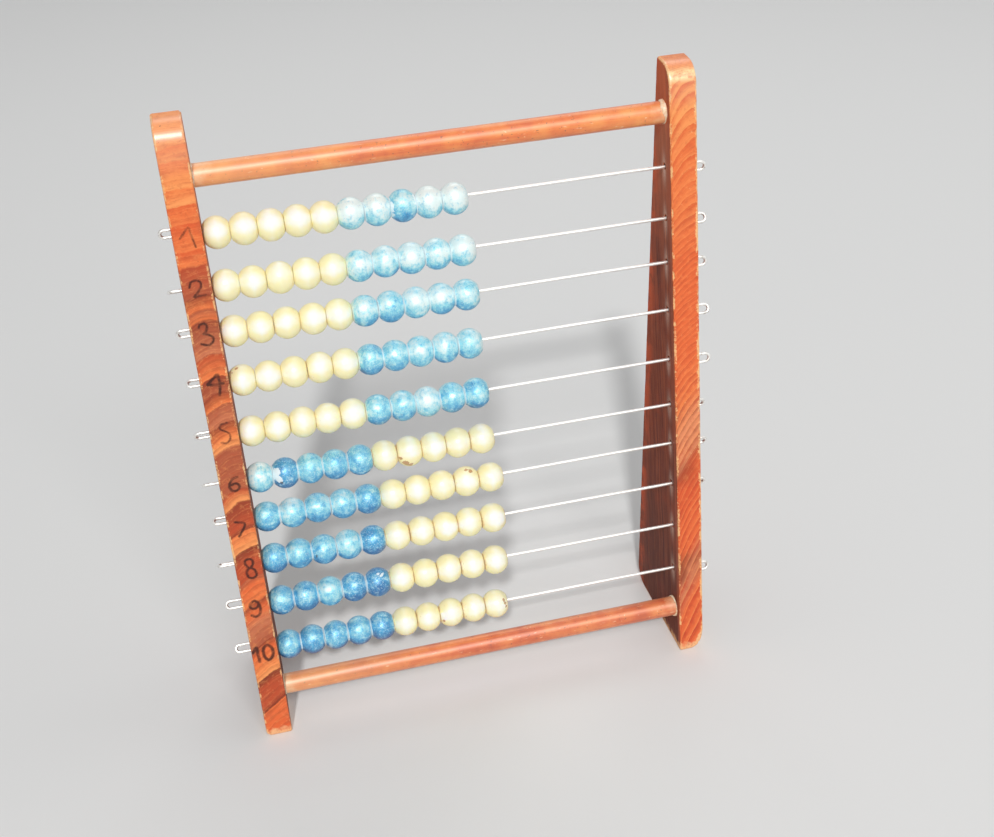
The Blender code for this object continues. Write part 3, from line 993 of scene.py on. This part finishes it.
def makeDowel(name, height, node, tones, seed):
    # A profile of radius along X, carried round the dowel's axis
    shape = dowelShape
    end, chamfer = shape["end"], shape["chamfer"]
    along = np.concatenate([[-end], np.linspace(chamfer - end, end - chamfer, shape["alongSteps"]), [end]])
    radius = np.full(len(along), shape["radius"])
    radius[[0, -1]] -= chamfer
    path = np.column_stack([along, np.full((len(along), 2), (frameSizes["dowelDepth"], height))])
    points = carriedCircle(path, radius, depthWay, heightWay, shape["sides"])
    uneven = unevenness(points, shape, seed)[..., None]
    points = points + uneven * (points - path[:, None]) / radius[:, None, None]
    mesh = buildMesh(name, toWorld(points), tubeFaces(len(along), shape["sides"]))
    addPiece(name, mesh, [dowelWood(name + "Wood", tones, seed)], frameBody, [node])


topTones = tints(dark=(208, 82, 24), middle=(232, 116, 38), light=(247, 160, 76))
bottomTones = tints(dark=(178, 64, 22), middle=(212, 94, 36), light=(240, 142, 72))
makeDowel("topDowel", frameSizes["topDowelHeight"], "top_dowel", topTones, 5)
makeDowel("bottomDowel", frameSizes["bottomDowelHeight"], "bottom_dowel", bottomTones, 9)

# Glue squeezed out round the dowels' ends. A ring is its name, side, dowel, fullness and seed.
glueShape = {
    "width": 0.0012,
    "height": 0.00050,
    "around": 72,
    "section": 12,
    "bump": 0.00010,
    "swellRounds": (1, 2, 3, 5, 7),  # swellings on the way round
    "swell": (0.75, 0.45),  # their mean and how far they go
    "swellLimits": (0.18, 1.9),
    "rings": (
        ("glueTopLeft", "left", "topDowelHeight", 0.5, 3),
        ("glueTopRight", "right", "topDowelHeight", 1.2, 4),
        ("glueBottomLeft", "left", "bottomDowelHeight", 0.5, 6),
        ("glueBottomRight", "right", "bottomDowelHeight", 1.1, 8),
    ),
}


def driedGlue():
    material = newMaterial(
        "driedGlue", Coat_Weight=0.3, Coat_Roughness=0.3, Subsurface_Weight=0.3, Subsurface_Scale=0.0006,
        Subsurface_Radius=(1.0, 0.7, 0.5),
    )
    places = objectPlaces()
    cloud = noise(places, 700.0, 4.0, 0.6)
    stops = ((0.3, tint(232, 186, 146)), (0.55, tint(248, 220, 184)), (0.75, tint(254, 240, 218)))
    colour = colourRamp(cloud, stops)
    roughness = between(cloud, 0.3, 0.8, 0.35, 0.6)
    return finished(material, colour, roughness, noise(places, 2200.0, 3.0), glueShape["bump"])


def makeGlue(name, side, height, fullness, seed, material):
    # A ring of oval section round the dowel, fuller in some places than in others
    shape = glueShape
    around, section = circleAngles(shape["around"]), circleAngles(shape["section"])
    draw = np.random.default_rng(seed)
    swell = sum(np.sin(around * k + draw.uniform(0, 6.28)) / k for k in shape["swellRounds"])
    mean, change = shape["swell"]
    swell = np.clip(fullness * (mean + change * swell), *shape["swellLimits"])[:, None]
    radius = dowelShape["radius"] + shape["height"] * swell * np.cos(section)
    points = np.empty((len(around), len(section), 3))
    points[..., 0] = wayOf[side] * (frameSizes["halfSpan"] - shape["width"] * swell * np.sin(section))
    points[..., 1] = frameSizes["dowelDepth"] + radius * np.cos(around)[:, None]
    points[..., 2] = height + radius * np.sin(around)[:, None]
    faces = gridFaces(len(around), len(section), wrapRows=True, wrapColumns=True)
    mesh = buildMesh(name, toWorld(points), [faces])
    addPiece(name, mesh, [material], frameBody, [])


glue = driedGlue()
for name, side, dowel, fullness, seed in glueShape["rings"]:
    makeGlue(name, side, frameSizes[dowel], fullness, seed, glue)
print("dowels and glue made")

wireLook = tints(shade=(248, 246, 240), shine=(255, 254, 250), dull=(138, 124, 110))
wireLook["bump"] = 0.000003


def wireMetal(name):
    # Bright drawn steel with faint lines along it, duller and spotted on the loops outside the boards
    material = newMaterial(name, Metallic=1.0)
    places = objectPlaces()
    away = calc("ABSOLUTE", split(places)[0]) - frameSizes["halfSpan"]
    lines = noise(mapped(places, Scale=(25, 1500, 1500)), 1.0, 2.0, 0.5)
    spots = noise(places, 700.0, 3.0, 0.6)
    dull = between(spots, 0.48, 0.66) * (between(away, 0.010, 0.016) * 0.40 + 0.02)
    colour = layered(wireLook["shade"], wireLook, ("shine", lines, 0.35, 0.65, 1.0), ("dull", dull))
    roughness = between(lines * 0.2 + dull, 0.05, 0.8, 0.46, 0.60)
    return finished(material, colour, roughness, spots * 0.2 + lines, wireLook["bump"])


def hairpin(side, row):
    # From the driven tip out of the board, a half circle in the plane that the twist gives, and
    # back to the board along the wire's own line
    way, shape, outer = wayOf[side], wireShape, boardFaces(side)[1]
    step = legStep(side, row)
    bendRadius = np.linalg.norm(step) / 2
    bendX = outer + way * (shape["reach"] * shape["reachShares"][side][row - 1] - bendRadius - shape["radius"])
    angle = np.linspace(0, math.pi, shape["bendSteps"] + 1)
    points = np.empty((len(angle) + 2, 3))
    points[0] = (outer - way * shape["drivenDepth"], *step)
    points[1] = (outer, *step)
    points[2:, 0] = bendX + way * bendRadius * np.sin(angle)
    points[2:, 1:] = step * ((1 + np.cos(angle)) / 2)[:, None]
    return points


def makeWire(row, material):
    # A circle carried along the path. Its plane follows the path's direction, and the second
    # direction across it turns slowly from the left hairpin's plane to the right one's.
    shape = wireShape
    left, right = hairpin("left", row), hairpin("right", row)[::-1]
    straight = np.zeros((shape["straightSteps"] - 1, 3))
    straight[:, 0] = np.linspace(left[-1, 0], right[0, 0], shape["straightSteps"] + 1)[1:-1]
    path = np.concatenate([left, straight, right])
    twists = [math.radians(shape["twistDegrees"][side][row - 1]) for side in ("left", "right")]
    twist = np.interp(path[:, 0], [left[-1, 0], right[0, 0]], twists)
    draw = np.random.default_rng(shape["seed"] + row)
    free = smoothStep(frameSizes["halfSpan"] - np.abs(path[:, 0]), 0.0, shape["still"])
    for axis in (1, 2):
        bow = np.sin(path[:, 0] * draw.uniform(*shape["waverRate"]) + draw.uniform(0, 6.28))
        path[:, axis] += bow * free * shape["waver"]
    tangent = np.gradient(path, axis=0)
    tangent /= np.linalg.norm(tangent, axis=1, keepdims=True)
    flatSide = np.stack([np.zeros_like(twist), np.cos(twist), -np.sin(twist)], -1)
    radius = np.full(len(path), shape["radius"])
    radius[[0, -1]] *= shape["tipShare"]
    path[:, 1:] += wirePlace(row)
    points = carriedCircle(path, radius, flatSide, np.cross(tangent, flatSide), shape["sides"])
    mesh = buildMesh(f"wire{row:02d}", toWorld(points), tubeFaces(len(path), shape["sides"]))
    addPiece(f"wire{row:02d}", mesh, [material], frameBody, [f"wire_{row:02d}"])


steel = wireMetal("drawnSteel")
for row in rowNumbers:
    makeWire(row, steel)
print("wires made")

# Beads. The outer line is an ellipse cut off square, with a rounded rim, a flat end and a
# countersunk bore, carried round the wire. Each bead differs a little, as turned beads do.
beadShape = {
    "diameter": 0.0135,
    "gap": 0.00008,  # between neighbours
    "endDiameter": 0.0072,
    "boreDiameter": 0.0035,
    "rim": 0.00045,
    "wallShare": 0.94,  # of the ellipse that is kept before the rim
    "bands": 18,
    "sides": 36,
    "groups": ((1, 2), (3, 5), (6, 8), (9, 10)),  # beads that share one slide
    "creamFirstRows": 5,
    "offCentre": 0.00012,
    "tiltDegrees": 1.2,
    "sizeSpread": (0.006, 0.012, 0.003),  # in size, in taper and in roundness
    "fadingSpread": 0.07,
    "grimePerRow": 0.045,
    "grimeSpread": (-0.04, 0.18),
    "grimeLimits": (0.02, 0.6),
    "seed": 1968,
}
# How faded the blue beads of each row are, and single beads that stand out
rowFading = (0.95, 0.76, 0.70, 0.64, 0.62, 0.48, 0.45, 0.42, 0.32, 0.32)
beadFading = {
    (1, 8): 0.60, (2, 10): 0.90, (4, 6): 0.42, (5, 6): 0.40, (5, 8): 0.80, (5, 10): 0.50,
    (6, 1): 0.60, (6, 2): 0.15, (7, 2): 0.65, (7, 5): 0.30, (8, 4): 0.55, (8, 5): 0.15,
    (9, 3): 0.50, (9, 4): 0.18, (9, 5): 0.05, (10, 5): 0.15,
}
# Knocks and stains on single beads: along the wire in shares of half a bead, turn about it in
# degrees from the front towards the top, and size in metres
beadMarks = {
    (1, 8): (
        ("chip", -0.95, 44, 0.0007), ("chip", -0.93, 24, 0.0008), ("chip", -0.95, 2, 0.0007),
        ("chip", -0.95, -20, 0.0007), ("chip", 0.93, 64, 0.0009), ("chip", 0.95, 44, 0.0007),
        ("chip", 0.95, 22, 0.0006),
    ),
    (4, 1): (("stain", -0.3, 80, 0.0007), ("stain", -0.7, 66, 0.0004)),
    (6, 2): (("chip", -0.86, 34, 0.0021), ("chip", -0.55, 2, 0.0012), ("stain", -0.42, -8, 0.0006)),
    (6, 7): (("stain", -0.42, -26, 0.0013), ("stain", -0.10, -34, 0.0010), ("stain", -0.80, -4, 0.0006)),
    (7, 9): (("stain", 0.35, 74, 0.0008), ("stain", 0.0, 80, 0.0007)),
    (8, 3): (("stain", -0.70, 5, 0.0005),),
    (9, 5): (("chip", 0.05, 68, 0.0007), ("chip", 0.30, 60, 0.0006), ("chip", 0.45, 72, 0.0005)),
    (10, 8): (("chip", -0.70, 20, 0.0017), ("stain", -0.78, -6, 0.0006)),
    (10, 10): (("stain", 0.60, 46, 0.0006), ("stain", 0.70, 28, 0.0005), ("stain", 0.74, 12, 0.0004)),
}
creamLook = tints(
    light=(255, 254, 242), warm=(254, 241, 192), grime=(190, 128, 74), chip=(250, 248, 240),
    stain=(186, 132, 82),
)
creamLook["bump"] = 0.00003
blueLook = tints(
    deep=(24, 108, 170), middle=(68, 166, 214), pale=(146, 222, 237), milk=(236, 251, 249),
    pearl=(224, 246, 244), bare=(240, 250, 252), stain=(66, 70, 78), grime=(84, 112, 120), tan=(196, 182, 162),
)
blueLook["stops"] = {"deep": 0.0, "middle": 0.32, "pale": 0.68, "milk": 1.0}
blueLook["bump"] = 0.00006


def ragged(mark, mottle, grit):
    # A knock or stain with a torn border
    return between(field(mark) + mottle * 0.9 + grit * 0.5, 1.02, 1.14)


def creamPaint(name):
    material = newMaterial(
        name, Coat_Weight=0.25, Coat_Roughness=0.20, Subsurface_Weight=0.6, Subsurface_Scale=0.0012,
        Subsurface_Radius=(1.0, 0.85, 0.5),
    )
    places, toEnd = objectPlaces(), field("toEnd")
    cloud = noise(places, 110.0, 3.0)
    mottle = noise(places, 520.0, 4.0, 0.6)
    grit = noise(places, 1500.0, 3.0, 0.65)
    # Painted light: whiter where the light falls on it. Painted shade makes it yellower round that and towards
    # the bead's ends.
    fromLight = calc("ABSOLUTE", field("rise") - 0.45)
    warmthAndShade = cloud + between(fromLight, 0.15, 0.75, -0.24, 0.18) + toEnd * 0.32
    crease = between(toEnd + mottle * 0.40 - 0.20, 0.88, 1.04) * field("grime")
    specks = between(noise(places, 820.0, 2.0, 0.7), 0.63, 0.70) * between(toEnd, 0.35, 0.9, 0.15, 1.0)
    colour = layered(
        creamLook["light"], creamLook, ("warm", warmthAndShade, 0.20, 0.76, 1.0), ("grime", crease),
        ("grime", specks * field("grime") * 0.9), ("chip", ragged("chip", mottle, grit)),
        ("stain", ragged("stain", mottle, grit) * 0.8),
    )
    roughness = between(grit + crease, 0.3, 1.5, 0.34, 0.6)
    return finished(material, colour, roughness, cloud * 0.5 + grit, creamLook["bump"])


def bluePaint(name):
    material = newMaterial(name, Metallic=0.22, Coat_Weight=0.7, Coat_Roughness=0.46, Specular_IOR_Level=0.6)
    places, fading, rise = objectPlaces(), field("fading"), field("rise")
    cloud = noise(places, 150.0, 4.0, 0.6)
    mottle = noise(places, 430.0, 5.0, 0.7)
    grit = noise(places, 1900.0, 3.0, 0.7)
    turned = noise(mapped(places, Scale=(1500, 110, 110)), 1.0, 3.0, 0.6)
    # Painted light and shade: paler on the upper side, where the light falls, and deeper blue underneath
    tone = cloud * 1.10 + turned * 0.30 + mottle * 0.90 + fading - 1.16
    tone = tone + between(rise, -0.85, 0.45, -0.32, 0.16)
    stops = [(place, blueLook[kind]) for kind, place in blueLook["stops"].items()]
    # Pearly flecks gather in patches, and the faded beads are blotched with what blue is left. The pale flecks
    # that thicken on the upper side are a painted highlight.
    patches = between(fading * 0.10 + cloud, 0.42, 0.62)
    rim = between(field("toEnd") + mottle * 0.14 - 0.07, 0.915, 0.955)
    bare = calc("MAXIMUM", rim, ragged("chip", mottle, grit))
    colour = layered(
        colourRamp(tone, stops), blueLook, ("pearl", between(mottle, 0.50, 0.64) * (patches * 0.45 + 0.06)),
        ("pearl", between(grit, 0.52, 0.66) * between(rise, -0.5, 0.35, 0.20, 0.70)),
        ("middle", between(mottle, 0.46, 0.34) * (fading * 0.05 + 0.26)),
        ("tan", between(noise(places, 640.0, 3.0, 0.7), 0.60, 0.70) * fading * 0.35),
        ("bare", bare * 0.92), ("grime", noise(places, 980.0, 2.0, 0.7), 0.71, 0.76, 0.30),
        ("stain", ragged("stain", mottle, grit) * 0.85),
    )
    roughness = between(grit * 0.4 + bare, 0.1, 1.3, 0.42, 0.62)
    return finished(material, colour, roughness, grit * 0.5 + turned * 0.3 - bare * 0.8, blueLook["bump"])


def beadProfile(shape, length):
    # Place along the wire and radius, once round the bead's wall
    endRadius, radius, half = shape["endDiameter"] / 2, shape["diameter"] / 2, length / 2
    endAngle = math.acos(endRadius / radius)
    angle = np.linspace(-1, 1, shape["bands"] + 1) * endAngle * shape["wallShare"]
    outer = np.stack([half / math.sin(endAngle) * np.sin(angle), radius * np.cos(angle)], -1)
    # Over the rounded rim and the flat end into the countersunk bore
    rim, bore = shape["rim"], shape["boreDiameter"] / 2
    rightEnd = np.array([
        (half - rim * 0.31, endRadius + rim * 0.30), (half - rim * 0.08, endRadius - rim * 0.22),
        (half, endRadius - rim * 0.9), (half, bore + rim), (half - rim * 0.7, bore + rim * 0.2),
        (half - rim * 1.7, bore), (half * 0.3, bore),
    ])
    return np.concatenate([outer, rightEnd, rightEnd[::-1] * (-1, 1)])


def makeBead(row, bead, materials, draw):
    shape, name = beadShape, f"bead{row:02d}-{bead:02d}"
    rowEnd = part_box(f"row_{row:02d}_beads_09_10")[1][0]
    pitch = (rowEnd + frameSizes["halfSpan"]) / frameSizes["beads"]
    length = pitch - shape["gap"]
    profile, around = beadProfile(shape, length), circleAngles(shape["sides"])
    along, radius = profile[:, :1], profile[:, 1:]
    isOuter = np.arange(len(profile))[:, None] <= shape["bands"]
    size, taper, oval, turn = draw.normal(size=4)
    bySize, byTaper, byRoundness = shape["sizeSpread"]
    grown = 1 + bySize * size + byTaper * taper * along / length
    grown = grown + byRoundness * oval * np.cos(2 * around + turn)
    wide = np.where(isOuter, radius * grown, radius)
    # 0 degrees faces the front, 90 degrees the top. Each bead is tilted a little on its wire.
    y, z = -wide * np.cos(around), wide * np.sin(around)
    nod, sideways = np.radians(draw.uniform(-1, 1, 2) * shape["tiltDegrees"])
    points = np.stack([along - y * sideways - z * nod, y + along * sideways, z + along * nod], -1)
    marks = {"chip": 0.0, "stain": 0.0}
    for kind, share, degrees, spread in beadMarks.get((row, bead), ()):
        roundBy = np.mod(around - math.radians(degrees) + math.pi, 2 * math.pi) - math.pi
        away = np.hypot(along - share * length / 2, radius * roundBy)
        marks[kind] = np.maximum(marks[kind], np.clip(1 - away / spread / 2, 0, 1) * isOuter)
    first, last = next(group for group in shape["groups"] if bead <= group[1])
    node = f"row_{row:02d}_beads_{first:02d}_{last:02d}"
    middle = boxMiddle(node)
    middle[0] = (bead - 0.5) * pitch - frameSizes["halfSpan"]
    middle[1:] += draw.uniform(-1, 1, 2) * shape["offCentre"]
    spread = shape["fadingSpread"]
    fading = beadFading.get((row, bead), rowFading[row - 1]) + draw.uniform(-spread, spread)
    grime = shape["grimePerRow"] * (row - 2) + draw.uniform(*shape["grimeSpread"])
    grime = np.clip(grime, *shape["grimeLimits"])
    toEnd = np.where(isOuter, np.abs(along) / (length / 2), 1.0)
    fields = {"toEnd": toEnd, "rise": np.sin(around), "fading": fading, "grime": grime, **marks}
    faces = gridFaces(len(profile), len(around), wrapRows=True, wrapColumns=True)
    mesh = buildMesh(name, points + middle, [faces], fields)
    isCream = (row <= shape["creamFirstRows"]) == (bead <= frameSizes["beads"] / 2)
    slot = "cream_bead" if isCream else "blue_bead"
    addPiece(name, mesh, [materials[slot]], node, [node])


paint = {"cream_bead": creamPaint("creamPaint"), "blue_bead": bluePaint("bluePaint")}
beadDraw = np.random.default_rng(beadShape["seed"])
for row in rowNumbers:
    for bead in range(1, frameSizes["beads"] + 1):
        makeBead(row, bead, paint, beadDraw)
print("beads made")

# Floor, light and camera. A lamp is its azimuth, 0 in front and 90 to the right, its elevation, its
# distance from the aim, its energy and the rest of its settings.
studio = {
    "floorSize": 8.0,
    "floorColour": (0.80, 0.80, 0.79, 1.0),
    "worldColour": (0.97, 0.98, 1.0, 1.0),
    "worldStrength": 0.25,
    "worldSeen": 0.60,  # how bright the surroundings look past the floor and in reflections
    "aim": (0.0, 0.0, 0.14),
    "lamps": {
        "sun": (-13, 40, 2.0, 1.6, {"type": "SUN", "angle": math.radians(3.5)}),
        "keyLamp": (5, 41, 1.6, 6.6, {"shape": "RECTANGLE", "size": 0.6, "size_y": 0.3}),
        "sideLamp": (85, 25, 1.8, 3.0, {"shape": "RECTANGLE", "size": 1.2, "size_y": 1.2}),
        "backLamp": (165, 52, 1.7, 4.2, {"shape": "RECTANGLE", "size": 1.0, "size_y": 1.0}),
    },
}
cameraSetup = {
    "place": (-0.08732, -0.52621, 0.44298),
    "right": (0.97094, -0.23157, -0.06046),
    "forward": (0.17100, 0.84795, -0.50174),
    "lens": 48.81,
    "sensor": 36.0,
    "clip": (0.01, 50.0),
}


def makeFloor():
    half = studio["floorSize"] / 2
    mesh = bpy.data.meshes.new("floor")
    corners = [(-half, -half, 0), (half, -half, 0), (half, half, 0), (-half, half, 0)]
    mesh.from_pydata(corners, [], [(0, 1, 2, 3)])
    mesh.materials.append(newMaterial("floorPaper", Roughness=0.85, Base_Color=studio["floorColour"]))
    addObject("floor", mesh)


def makeLamp(name, azimuth, elevation, distance, energy, settings):
    # A lamp that looks at the frame's middle
    light = bpy.data.lights.new(name, settings.get("type", "AREA"))
    light.energy = energy
    for key, value in settings.items():
        if key != "type":
            setattr(light, key, value)
    turn, up = math.radians(azimuth), math.radians(elevation)
    way = np.array([math.sin(turn) * math.cos(up), -math.cos(turn) * math.cos(up), math.sin(up)])
    lamp = addObject(name, light)
    lamp.location = studio["aim"] + distance * way
    lamp.rotation_euler = (math.pi / 2 - up, 0, turn)


def makeCamera():
    right, forward = np.array(cameraSetup["right"]), np.array(cameraSetup["forward"])
    forward /= np.linalg.norm(forward)
    right -= forward * (right @ forward)
    right /= np.linalg.norm(right)
    up = np.cross(right, forward)
    data = bpy.data.cameras.new("camera")
    data.lens = cameraSetup["lens"]
    data.sensor_width = cameraSetup["sensor"]
    data.clip_start, data.clip_end = cameraSetup["clip"]
    camera = addObject("camera", data)
    camera.rotation_euler = Matrix(np.column_stack([right, up, -forward]).tolist()).to_euler()
    camera.location = cameraSetup["place"]
    bpy.context.scene.camera = camera


def makeWorld():
    # Brighter where the camera, reflections and glass look at it than in the light that it gives
    world = bpy.data.worlds.new("studio")
    world.use_nodes = True
    making["tree"] = world.node_tree
    background = world.node_tree.nodes["Background"]
    background.inputs["Color"].default_value = studio["worldColour"]
    rays = addNode("LightPath").outputs
    seen = calc("MAXIMUM", Value(rays["Is Camera Ray"]), Value(rays["Is Glossy Ray"]))
    seen = calc("MAXIMUM", seen, Value(rays["Is Transmission Ray"]))
    strength = between(seen, 0.0, 1.0, studio["worldStrength"], studio["worldSeen"])
    connect(strength, background.inputs["Strength"])
    bpy.context.scene.world = world


makeFloor()
for name, setup in studio["lamps"].items():
    makeLamp(name, *setup)
makeCamera()
makeWorld()
bpy.context.scene.view_settings.view_transform = "Standard"
print("floor, lamps and camera made")
